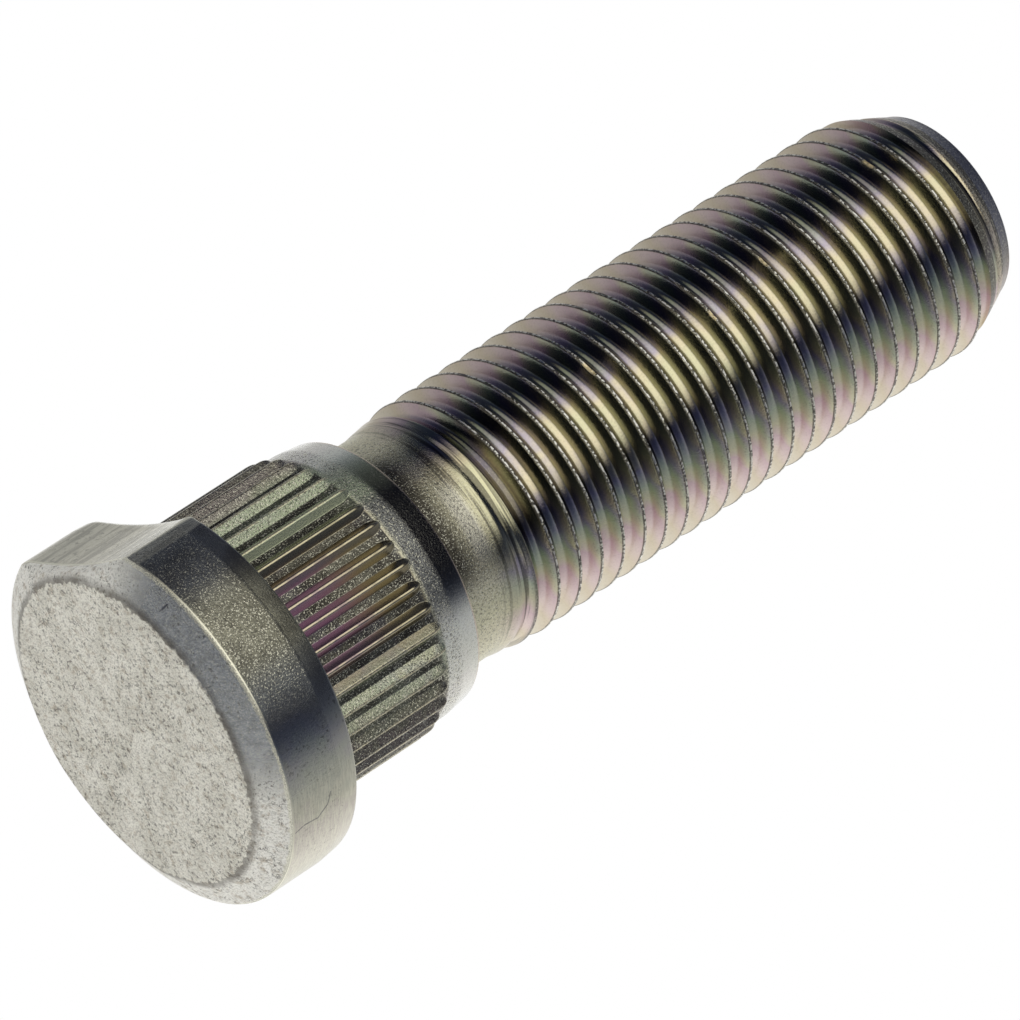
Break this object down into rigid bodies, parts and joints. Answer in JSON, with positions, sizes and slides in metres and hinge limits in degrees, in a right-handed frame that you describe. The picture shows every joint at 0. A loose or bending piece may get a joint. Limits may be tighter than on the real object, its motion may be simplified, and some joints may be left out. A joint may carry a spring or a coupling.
{
  "type": "wheel stud",
  "caption": "Press-in wheel stud with a round head trimmed flat on one side, a serrated collar, a plain neck and a rolled thread.",
  "frame": {"origin": "centre of the head's flat face, which the stud stands on", "axes": "+Z along the stud's axis from the head to the tip; the trimmed flat of the head's rim faces -Y"},
  "size_m": [0.0208, 0.0196, 0.0562],
  "materials": {
    "plated_steel": "satin zinc plate with a faint yellow, green and pink tint"
  },
  "bodies": {
    "root": {"wheel_stud": "plated_steel"}
  },
  "joints": []
}
